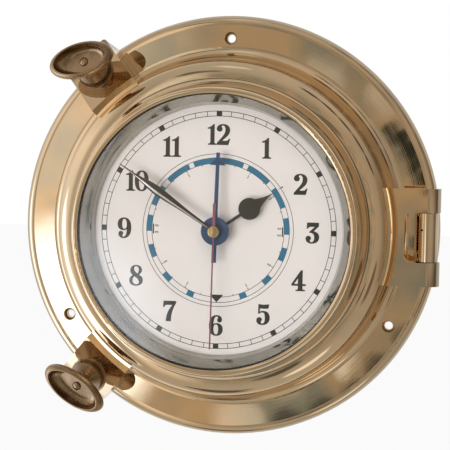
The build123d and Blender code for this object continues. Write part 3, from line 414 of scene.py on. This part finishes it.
class Looks(Nodes):
    """One material's nodes."""

    def __init__(self, name, **values):
        self.material = bpy.data.materials.new(name)
        super().__init__(self.material)
        self.out = self.add("ShaderNodeOutputMaterial")
        self.shader = self.add("ShaderNodeBsdfPrincipled")
        self.show(self.shader.outputs["BSDF"])
        for socket, value in values.items():
            self.give(socket.replace("_", " "), value)
        self.place = self.add("ShaderNodeTexCoord").outputs["Object"]
        self.raised = None

    def show(self, surface):
        """Makes a shader the one that is seen."""
        self.feed(self.out.inputs["Surface"], surface)

    def give(self, name, value):
        """Sets one input of the main shader."""
        self.feed(self.shader.inputs[name], value)

    def noise(self, scale, detail=3.0, roughness=0.5, stretch=None):
        """Uneven grey, with the scale in lumps to the metre."""
        where = self.place
        if stretch:
            mapping = self.add("ShaderNodeMapping")
            self.feed(mapping.inputs["Scale"], stretch)
            self.feed(mapping.inputs["Vector"], where)
            where = mapping.outputs["Vector"]
        return self.grain(where, scale, detail, roughness)["Fac"]

    def bump(self, height, distance):
        """Raises the surface by a height, over what was raised before."""
        node = self.add("ShaderNodeBump")
        node.inputs["Distance"].default_value = distance
        node.inputs["Strength"].default_value = 1.0
        self.feed(node.inputs["Height"], height)
        if self.raised is not None:
            self.feed(node.inputs["Normal"], self.raised)
        self.raised = node.outputs["Normal"]
        self.give("Normal", self.raised)

    def radius(self):
        """The distance from the clock's axis, in metres."""
        split = self.add("ShaderNodeSeparateXYZ")
        self.feed(split.inputs["Vector"], self.place)
        flat = self.add("ShaderNodeCombineXYZ")
        self.feed(flat.inputs["X"], split.outputs["X"])
        self.feed(flat.inputs["Y"], split.outputs["Z"])
        return self.vector("LENGTH", flat.outputs["Vector"])["Value"]

    def mix(self, share, first, second):
        """Two shaders blended into one."""
        node = self.add("ShaderNodeMixShader")
        for socket, value in zip(node.inputs, (share, first, second)):
            self.feed(socket, value)
        return node.outputs["Shader"]


# Metal: colour drift, painted shade in the corners, painted shade on the outer rim, wipe marks, ripples,
# waves, lathe lines
DRIFT_LOW, DRIFT_HIGH = 0.38, 0.62
# Painted shade in corners: occlusion samples, darkest share, occlusion span
CORNER_SHADE_SAMPLES, CORNER_SHADE_DARK, CORNER_SHADE_SPAN = 6, 0.22, (0.12, 0.55)
# Painted shade on the outer rim: radius span in metres, darkest share
RIM_SPAN, RIM_SHADE = (0.1130, 0.1162), 0.5
WIPE_SCALE, WIPE_STRETCH, WIPE_SPAN = 240.0, (1.0, 1.0, 0.22), (0.3, 0.75)
RIPPLE_SCALE, RIPPLE_BUMPS = 60.0, 6
SWAY_SCALE = 17.0
LATHE_FINENESS, LATHE_DETAIL = 12, 3.0


def worn_metal(name, dark, light, rough, patch=28.0, lathe=0.0, bump=0.000004,
               corner_shade_reach=0.0, sway=0.0, rim=False):
    """Metal with slow colour drift and fine wipe marks. Where asked, it has lathe lines, painted shade
    darkening its corners over the given reach, slow waves as high as sway, and painted shade on the outer
    rim."""
    look = Looks(name, Metallic=1.0)
    colour = look.ramp(look.noise(patch, 4.0, 0.6), ((DRIFT_LOW, dark), (DRIFT_HIGH, light)))
    # Painted shade: ambient occlusion darkens the colour in corners and recesses
    if corner_shade_reach:
        corners = look.add("ShaderNodeAmbientOcclusion", samples=CORNER_SHADE_SAMPLES)
        corners.inputs["Distance"].default_value = corner_shade_reach
        shade = look.spread(corners.outputs["AO"], CORNER_SHADE_SPAN, (CORNER_SHADE_DARK, 1.0))
        # Painted shade: the colour darkens towards the outer rim
        if rim:
            edge = look.spread(look.radius(), RIM_SPAN, (1.0, RIM_SHADE))
            shade = look.number("MULTIPLY", shade, edge)
        shaded = look.add("ShaderNodeVectorMath", operation="SCALE")
        look.feed(shaded.inputs["Vector"], colour)
        look.feed(shaded.inputs["Scale"], shade)
        colour = shaded.outputs["Vector"]
    look.give("Base Color", colour)
    wipe = look.noise(WIPE_SCALE, 5.0, 0.65, WIPE_STRETCH)
    look.give("Roughness", look.spread(wipe, WIPE_SPAN, rough))
    look.bump(look.noise(RIPPLE_SCALE, 2.0), bump * RIPPLE_BUMPS)
    if sway:
        look.bump(look.noise(SWAY_SCALE, 1.5, 0.45), sway)
    if lathe:
        turns = look.add("ShaderNodeTexNoise", noise_dimensions="1D")
        turns.inputs["Scale"].default_value = lathe * LATHE_FINENESS
        turns.inputs["Detail"].default_value = LATHE_DETAIL
        look.feed(turns.inputs["W"], look.radius())
        wobble = look.noise(lathe, 2.0)
        look.bump(look.number("ADD", turns.outputs["Fac"], wobble), bump)
    return look


# Paint, ink, plastic and rubber: a faint mottle of the colour and a fine grain
MOTTLE_SCALE, MOTTLE_LOW, MOTTLE_HIGH = 70.0, 0.3, 0.7
GRAIN_SCALE, GRAIN_SMOOTHER, GRAIN_ROUGHER = 900.0, 0.85, 1.15
COAT_ROUGHNESS = 0.08


def painted(name, colour, darker, roughness, coat=0.0, bump=0.000003):
    """Paint, ink, plastic or rubber, with a clear coat where asked."""
    look = Looks(name, Coat_Weight=coat, Coat_Roughness=COAT_ROUGHNESS)
    mottle = look.noise(MOTTLE_SCALE, 4.0, 0.6)
    look.give("Base Color", look.ramp(mottle, ((MOTTLE_LOW, darker), (MOTTLE_HIGH, colour))))
    fine = look.noise(GRAIN_SCALE, 2.0)
    rough = (roughness * GRAIN_SMOOTHER, roughness * GRAIN_ROUGHER)
    look.give("Roughness", look.spread(fine, (0.0, 1.0), rough))
    look.bump(fine, bump)
    return look


# Glass: refraction, the tint of its shadow, and faint smears
GLASS_IOR, GLASS_SHADE = 1.46, (0.99, 1.0, 0.995)
SMEAR_SCALE, SMEAR_SPAN, SMEAR_ROUGHNESS = 35.0, (0.45, 0.9), 0.02


def clear_glass():
    """Glass that lets the lamps through to the dial."""
    look = Looks("clear_glass_look", Base_Color=(1.0, 1.0, 1.0), Roughness=0.0,
                 IOR=GLASS_IOR, Transmission_Weight=1.0)
    through = look.add("ShaderNodeBsdfTransparent")
    look.feed(through.inputs["Color"], GLASS_SHADE)
    look.show(look.mix(look.ray("Is Shadow Ray"), look.shader.outputs["BSDF"], through.outputs["BSDF"]))
    smear = look.noise(SMEAR_SCALE, 4.0, 0.6)
    look.give("Roughness", look.spread(smear, SMEAR_SPAN, (0.0, SMEAR_ROUGHNESS)))
    return look


# Enamelled wire: turns to the metre, their unevenness and height, and the colours between them
WIRE_SCALE, WIRE_WOBBLE, WIRE_BUMP, WIRE_ROUGHNESS = 900.0, 0.4, 0.00005, 0.28
WIRE_TINTS = ((0.2, (0.22, 0.07, 0.03)), (0.8, (0.62, 0.27, 0.12)))


def winding():
    """Enamelled wire wound on the coil."""
    look = Looks("copper_wire_look", Metallic=1.0, Roughness=WIRE_ROUGHNESS)
    wave = look.add("ShaderNodeTexWave", bands_direction="X")
    wave.inputs["Scale"].default_value = WIRE_SCALE
    wave.inputs["Distortion"].default_value = WIRE_WOBBLE
    look.feed(wave.inputs["Vector"], look.place)
    look.give("Base Color", look.ramp(wave.outputs["Fac"], WIRE_TINTS))
    look.bump(wave.outputs["Fac"], WIRE_BUMP)
    return look


# Where a metal has a reach for its corners, painted shade darkens them and, with rim, its outer rim
METALS = {
    "polished_brass": dict(dark=(0.66, 0.53, 0.375), light=(0.79, 0.595, 0.39), rough=(0.006, 0.032),
                           patch=15.0, lathe=150.0, bump=0.0000014, corner_shade_reach=0.0055, sway=0.00010, rim=True),
    "aged_brass": dict(dark=(0.24, 0.165, 0.10), light=(0.40, 0.28, 0.175), rough=(0.18, 0.34),
                       patch=60.0, corner_shade_reach=0.006),
    "turned_brass": dict(dark=(0.60, 0.44, 0.22), light=(0.72, 0.55, 0.31), rough=(0.22, 0.34),
                         patch=60.0, lathe=300.0),
    "nickel_plate": dict(dark=(0.30, 0.29, 0.255), light=(0.37, 0.36, 0.32), rough=(0.06, 0.14),
                         lathe=120.0, bump=0.000002),
    "spun_aluminium": dict(dark=(0.62, 0.62, 0.62), light=(0.74, 0.74, 0.73), rough=(0.30, 0.42),
                           patch=50.0, lathe=220.0),
    "plated_steel": dict(dark=(0.50, 0.50, 0.49), light=(0.64, 0.64, 0.62), rough=(0.25, 0.40), patch=80.0),
    "dark_steel": dict(dark=(0.05, 0.045, 0.04), light=(0.12, 0.11, 0.10), rough=(0.30, 0.45), patch=80.0),
    # A bright metal that paints a highlight on the minute hand's lower flank
    "painted_highlight_metal": dict(dark=(0.82, 0.82, 0.80), light=(0.90, 0.90, 0.88), rough=(0.10, 0.18), patch=60.0),
}
PAINTS = {
    "dial_white": dict(colour=(0.84, 0.785, 0.77), darker=(0.82, 0.765, 0.75), roughness=0.5),
    "black_paint": dict(colour=(0.016, 0.016, 0.013), darker=(0.011, 0.011, 0.009), roughness=0.38, coat=0.1),
    "blue_paint": dict(colour=(0.012, 0.045, 0.115), darker=(0.009, 0.036, 0.095), roughness=0.36, coat=0.2),
    "plum_paint": dict(colour=(0.22, 0.075, 0.105), darker=(0.18, 0.06, 0.085), roughness=0.36, coat=0.2),
    "black_rubber": dict(colour=(0.03, 0.03, 0.03), darker=(0.018, 0.018, 0.018), roughness=0.7,
                         bump=0.00001),
    "movement_plastic": dict(colour=(0.022, 0.022, 0.024), darker=(0.014, 0.014, 0.015), roughness=0.42,
                             bump=0.000012),
    "gear_plastic": dict(colour=(0.74, 0.72, 0.66), darker=(0.66, 0.64, 0.57), roughness=0.4),
    "battery_wrap": dict(colour=(0.05, 0.05, 0.055), darker=(0.03, 0.03, 0.035), roughness=0.3, coat=0.3),
    "board_green": dict(colour=(0.03, 0.16, 0.06), darker=(0.02, 0.11, 0.04), roughness=0.35, coat=0.3),
    "ink_black": dict(colour=(0.022, 0.021, 0.018), darker=(0.015, 0.015, 0.013), roughness=0.6),
    "ink_blue": dict(colour=(0.022, 0.16, 0.27), darker=(0.018, 0.14, 0.245), roughness=0.55),
}
LOOKS = {"clear_glass": clear_glass(), "copper_wire": winding()}
for finish, values in METALS.items():
    LOOKS[finish] = worn_metal(finish + "_look", **values)
for finish, values in PAINTS.items():
    LOOKS[finish] = painted(finish + "_look", **values)


def dress_nodes():
    """Gives each solid of the frame the look of its material slot."""
    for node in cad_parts.values():
        for holder in node.material_slots:
            look = LOOKS.get(holder.material.name.split(".")[0])
            if look:
                holder.material = look.material


def smooth_nodes():
    """Shades the solids smoothly, keeping their sharp edges."""
    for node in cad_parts.values():
        for polygon in node.data.polygons:
            polygon.use_smooth = True


def hour_numerals():
    """The numbers 1 to 12."""
    bm = bmesh.new()
    for hour in range(1, 13):
        x, y = clockwise(NUMERAL_R, hour * HOUR_STEP)
        add_number(bm, str(hour), x, y, NUMERAL_H)
    mesh_piece("dial_numerals", bm, "root", "ink_black")


def minute_track():
    """Two thin lines, with a thin line across for each minute and a block for each fifth."""
    bm = bmesh.new()
    for radius in (TRACK_IN_R, TRACK_OUT_R):
        ring(bm, radius, LINE_W)
    for degrees in range(0, 360, MINUTE_STEP):
        if degrees % HOUR_STEP:
            spoke(bm, TRACK_IN_R + LINE_W / 2, TRACK_OUT_R - LINE_W / 2, degrees)
        else:
            half = math.degrees(BLOCK_W / 2 / TRACK_OUT_R)
            band(bm, TRACK_IN_R - LINE_W / 2, TRACK_OUT_R + LINE_W / 2,
                 degrees - half, degrees + half, PRINT_LOW, PRINT_OVER)
    mesh_piece("minute_track", bm, "root", "ink_black")


def tide_ring():
    """The blue band and its lines, the ticks and figures of the hours, and the pointer below."""
    bm = bmesh.new()
    blue = bmesh.new()
    for radius in (TIDE_LINE_R, BAND_IN_R, BAND_OUT_R):
        ring(bm, radius, LINE_W * THIN_SHARE)
    top_end = BAND_SPANS[0][1]
    band(blue, BAND_IN_R, BAND_OUT_R, -top_end, top_end, PRINT_LOW, PRINT_OVER)
    for start, end in BAND_SPANS[1:]:
        for sign in SIDES:
            band(blue, BAND_IN_R, BAND_OUT_R, sign * start, sign * end, PRINT_LOW, PRINT_OVER)
    for sign in SIDES:
        for hours in TIDE_HOURS:
            for degrees in (hours * HOUR_OF_TIDE, 180 - hours * HOUR_OF_TIDE):
                whole = hours == int(hours)
                reach = WHOLE_TICK if whole else HALF_TICK
                if hours < TIDE_HOURS[-1]:
                    spoke(bm, BAND_IN_R - reach, BAND_IN_R, sign * degrees)
                if whole:
                    x, y = clockwise(BAND_IN_R - SMALL_DIGIT_DROP, sign * degrees)
                    add_number(bm, str(int(hours)), x, y, SMALL_DIGIT_H, sign * degrees)
        edge = TIDE_HOURS[-1] * HOUR_OF_TIDE - SIDE_ARC_OVERLAP
        band(bm, BAND_IN_R - SIDE_ARC_IN, BAND_IN_R - SIDE_ARC_OUT,
             sign * edge, sign * (180 - edge), PRINT_LOW, PRINT_HIGH)
    prism(bm, POINTER, PRINT_LOW, PRINT_OVER)
    mesh_piece("tide_marks", bm, "root", "ink_black")
    mesh_piece("tide_band", blue, "root", "ink_blue")


def minute_facets():
    """The two sloping flanks along the minute hand: the lower one is a painted highlight in bright metal, the
    upper one black.
    """
    a = math.radians(MINUTE_ANGLE)
    along, across = (math.sin(a), math.cos(a)), (-math.cos(a), math.sin(a))
    rows = [(share * MINUTE_TIP, width / 2) for share, width in zip(MINUTE_SHARES, MINUTE_WIDTHS)]

    def spot(distance, offset, h):
        return place(along[0] * distance + across[0] * offset, along[1] * distance + across[1] * offset, h)

    # The lower flank is a painted highlight: bright metal on the black hand
    for name, side, reach, look, slot in (
            ("minute_hand_painted_highlight_flank", 1, HIGHLIGHT_REACH, "painted_highlight_metal", "nickel_plate"),
            ("minute_hand_black_flank", -1, BLACK_REACH, "black_paint", "black_paint")):
        bm = bmesh.new()
        loops = []
        for distance, half in rows:
            ridge = half * RIDGE_OFFSET
            peak = MINUTE_TOP + FACET_SLOPE * (half * HIGHLIGHT_REACH - ridge)
            corners = ((ridge, MINUTE_TOP - FACET_SINK), (side * half * reach, MINUTE_TOP - FACET_SINK),
                       (side * half * reach, MINUTE_TOP + FACET_EDGE), (ridge, peak + FACET_EDGE))
            loops.append([bm.verts.new(spot(distance, offset, h)) for offset, h in corners])
        tube(bm, loops)
        mesh_piece(name, bm, "minute_train", look)


def camera():
    """The photograph's view."""
    azimuth, rise, roll = (math.radians(v) for v in (VIEW_AZIMUTH, VIEW_RISE, VIEW_ROLL))
    back = Vector((math.sin(azimuth) * math.cos(rise), -math.cos(azimuth) * math.cos(rise), math.sin(rise)))
    right = Vector((math.cos(azimuth), math.sin(azimuth), 0))
    up = back.cross(right)
    rolled_right = right * math.cos(roll) + up * math.sin(roll)
    rolled_up = up * math.cos(roll) - right * math.sin(roll)
    data = bpy.data.cameras.new("view")
    data.sensor_width = SENSOR
    data.lens = FOCAL_PIXELS / PHOTO_PIXELS * SENSOR
    data.clip_start, data.clip_end = CLIP_NEAR, CLIP_FAR
    holder = bpy.data.objects.new("view", data)
    at = Vector(VIEW_AT) * MM + back * VIEW_DISTANCE * MM
    columns = Matrix((rolled_right, rolled_up, back)).transposed().to_4x4()
    holder.matrix_world = Matrix.Translation(at) @ columns
    bpy.context.scene.collection.objects.link(holder)
    bpy.context.scene.camera = holder


def softbox(name, at, size, power):
    """A soft lamp that faces the clock, and that neither metal nor glass shows."""
    data = bpy.data.lights.new(name, "AREA")
    data.shape, data.size, data.size_y = "RECTANGLE", size[0], size[1]
    data.energy = power
    holder = bpy.data.objects.new(name, data)
    holder.location = at
    holder.rotation_euler = (-Vector(at)).to_track_quat("-Z", "Y").to_euler()
    holder.visible_glossy = holder.visible_transmission = False
    bpy.context.scene.collection.objects.link(holder)


def lay_floor():
    """A pale floor below the clock, close to white for the camera and unseen in the metal."""
    bm = bmesh.new()
    bmesh.ops.create_grid(bm, x_segments=FLOOR_CELLS, y_segments=FLOOR_CELLS, size=FLOOR_HALF)
    mesh = bpy.data.meshes.new("floor")
    bm.to_mesh(mesh)
    bm.free()
    floor = bpy.data.objects.new("floor", mesh)
    floor.location = (0, 0, FLOOR_Z)
    bpy.context.scene.collection.objects.link(floor)
    look = Looks("floor_look", Roughness=FLOOR_ROUGHNESS)
    look.give("Base Color", look.ramp(look.noise(FLOOR_PATCH), FLOOR_TINTS))
    matt = look.shader.outputs["BSDF"]
    white = look.add("ShaderNodeEmission").outputs["Emission"]
    seen = look.mix(look.ray("Is Camera Ray"), matt, look.mix(FLOOR_WHITE, matt, white))
    clear = look.add("ShaderNodeBsdfTransparent").outputs["BSDF"]
    look.show(look.mix(look.ray("Is Glossy Ray"), seen, clear))
    mesh.materials.append(look.material)


class Sky(Nodes):
    """The world's nodes: brightness and colour by direction."""

    def __init__(self):
        world = bpy.data.worlds.new("studio")
        bpy.context.scene.world = world
        super().__init__(world)
        self.straight = self.direction = self.add("ShaderNodeTexCoord").outputs["Generated"]
        split = self.add("ShaderNodeSeparateXYZ")
        self.feed(split.inputs["Vector"], self.straight)
        self.across, self.depth, self.rise = (split.outputs[axis] for axis in "XYZ")

    def blend(self, factor, a, b, mode="MIX"):
        """One colour blended over another."""
        node = self.add("ShaderNodeMix", data_type="RGBA", blend_type=mode)
        for index, value in zip(MIX_INPUTS, (factor, a, b)):
            self.feed(node.inputs[index], value)
        return node.outputs[MIX_OUTPUT]

    def clouds(self, under):
        """Slow changes of brightness and tint ahead of the clock."""
        tint = self.ramp(self.grain(self.straight, CLOUD_SCALE, CLOUD_DETAIL)["Fac"], CLOUD_TINTS)
        ahead = self.spread(self.number("MULTIPLY", self.depth, -1.0), CLOUD_SPAN, kind=SMOOTH)
        return self.blend(ahead, under, tint, "MULTIPLY")

    def waver(self, scale, amount):
        """Makes the edges of the patches that follow uneven."""
        shift = self.grain(self.straight, scale, WAVER_DETAIL)["Color"]
        moved = self.vector("MULTIPLY_ADD", shift, (amount, amount, amount), self.straight)["Vector"]
        centred = self.vector("SUBTRACT", moved, (amount / 2, amount / 2, amount / 2))["Vector"]
        self.direction = self.vector("NORMALIZE", centred)["Vector"]

    def patch(self, under, colour, towards, inner, outer, strength):
        """A soft round patch of the room in one direction; inner and outer are in degrees."""
        dot = self.vector("DOT_PRODUCT", self.direction, Vector(towards).normalized())["Value"]
        span = (math.cos(math.radians(outer)), math.cos(math.radians(inner)))
        near = self.number("MULTIPLY", self.spread(dot, span, kind=SMOOTH), strength)
        return self.blend(near, under, colour)


def streaks():
    """The dark patches on an arc."""
    for degrees in STREAK_ANGLES:
        x, z = math.cos(math.radians(degrees)) + STREAK_LEAN, math.sin(math.radians(degrees))
        yield STREAK_DARK, (x, -STREAK_TILT, z), STREAK_INNER, STREAK_OUTER, STREAK_STRENGTH


def small_patches(table, colour, inner_share):
    """The patches of one table of small shapes."""
    for x, z, size, strength in table:
        yield colour, (x, -1.0, z), inner_share * size, size, strength


def build_room():
    """A white background for the camera, and a room that the metal mirrors."""
    sky = Sky()
    side = sky.ramp(sky.spread(sky.across, (-1.0, 1.0)), ROOM_SIDE)
    lift = sky.ramp(sky.spread(sky.rise, (-1.0, 1.0)), ROOM_LIFT)
    upright = sky.spread(sky.number("ABSOLUTE", sky.rise), LIFT_SPAN, kind=SMOOTH)
    room = sky.clouds(sky.blend(upright, side, lift))
    small = (WINDOW, *small_patches(SMALL_LIGHTS, SMALL_LIGHT, SMALL_LIGHT_INNER),
             *small_patches(SMALL_DARKS, SMALL_DARK, SMALL_DARK_INNER))
    for waver, patches in ((BROAD_WAVER, BROAD_PATCHES), (STREAK_WAVER, streaks()), (SMALL_WAVER, small)):
        sky.waver(*waver)
        for patch in patches:
            room = sky.patch(room, *patch)
    around = sky.blend(sky.spread(sky.depth, BEHIND_SPAN, kind=SMOOTH), room, BEHIND_WHITE)
    dimmed = sky.blend(DIFFUSE_SHARE, (0.0, 0.0, 0.0), around)
    colour = sky.blend(sky.ray("Is Diffuse Ray"), around, dimmed)
    colour = sky.blend(sky.ray("Is Camera Ray"), colour, (1.0, 1.0, 1.0))
    shine = sky.add("ShaderNodeBackground")
    sky.feed(shine.inputs["Color"], colour)
    out = sky.add("ShaderNodeOutputWorld")
    sky.feed(out.inputs["Surface"], shine.outputs["Background"])


dress_nodes()
smooth_nodes()
hour_numerals()
minute_track()
tide_ring()
minute_facets()
camera()
lay_floor()
build_room()
for lamp in LAMPS:
    softbox(*lamp)
bpy.context.scene.view_settings.view_transform = "Standard"
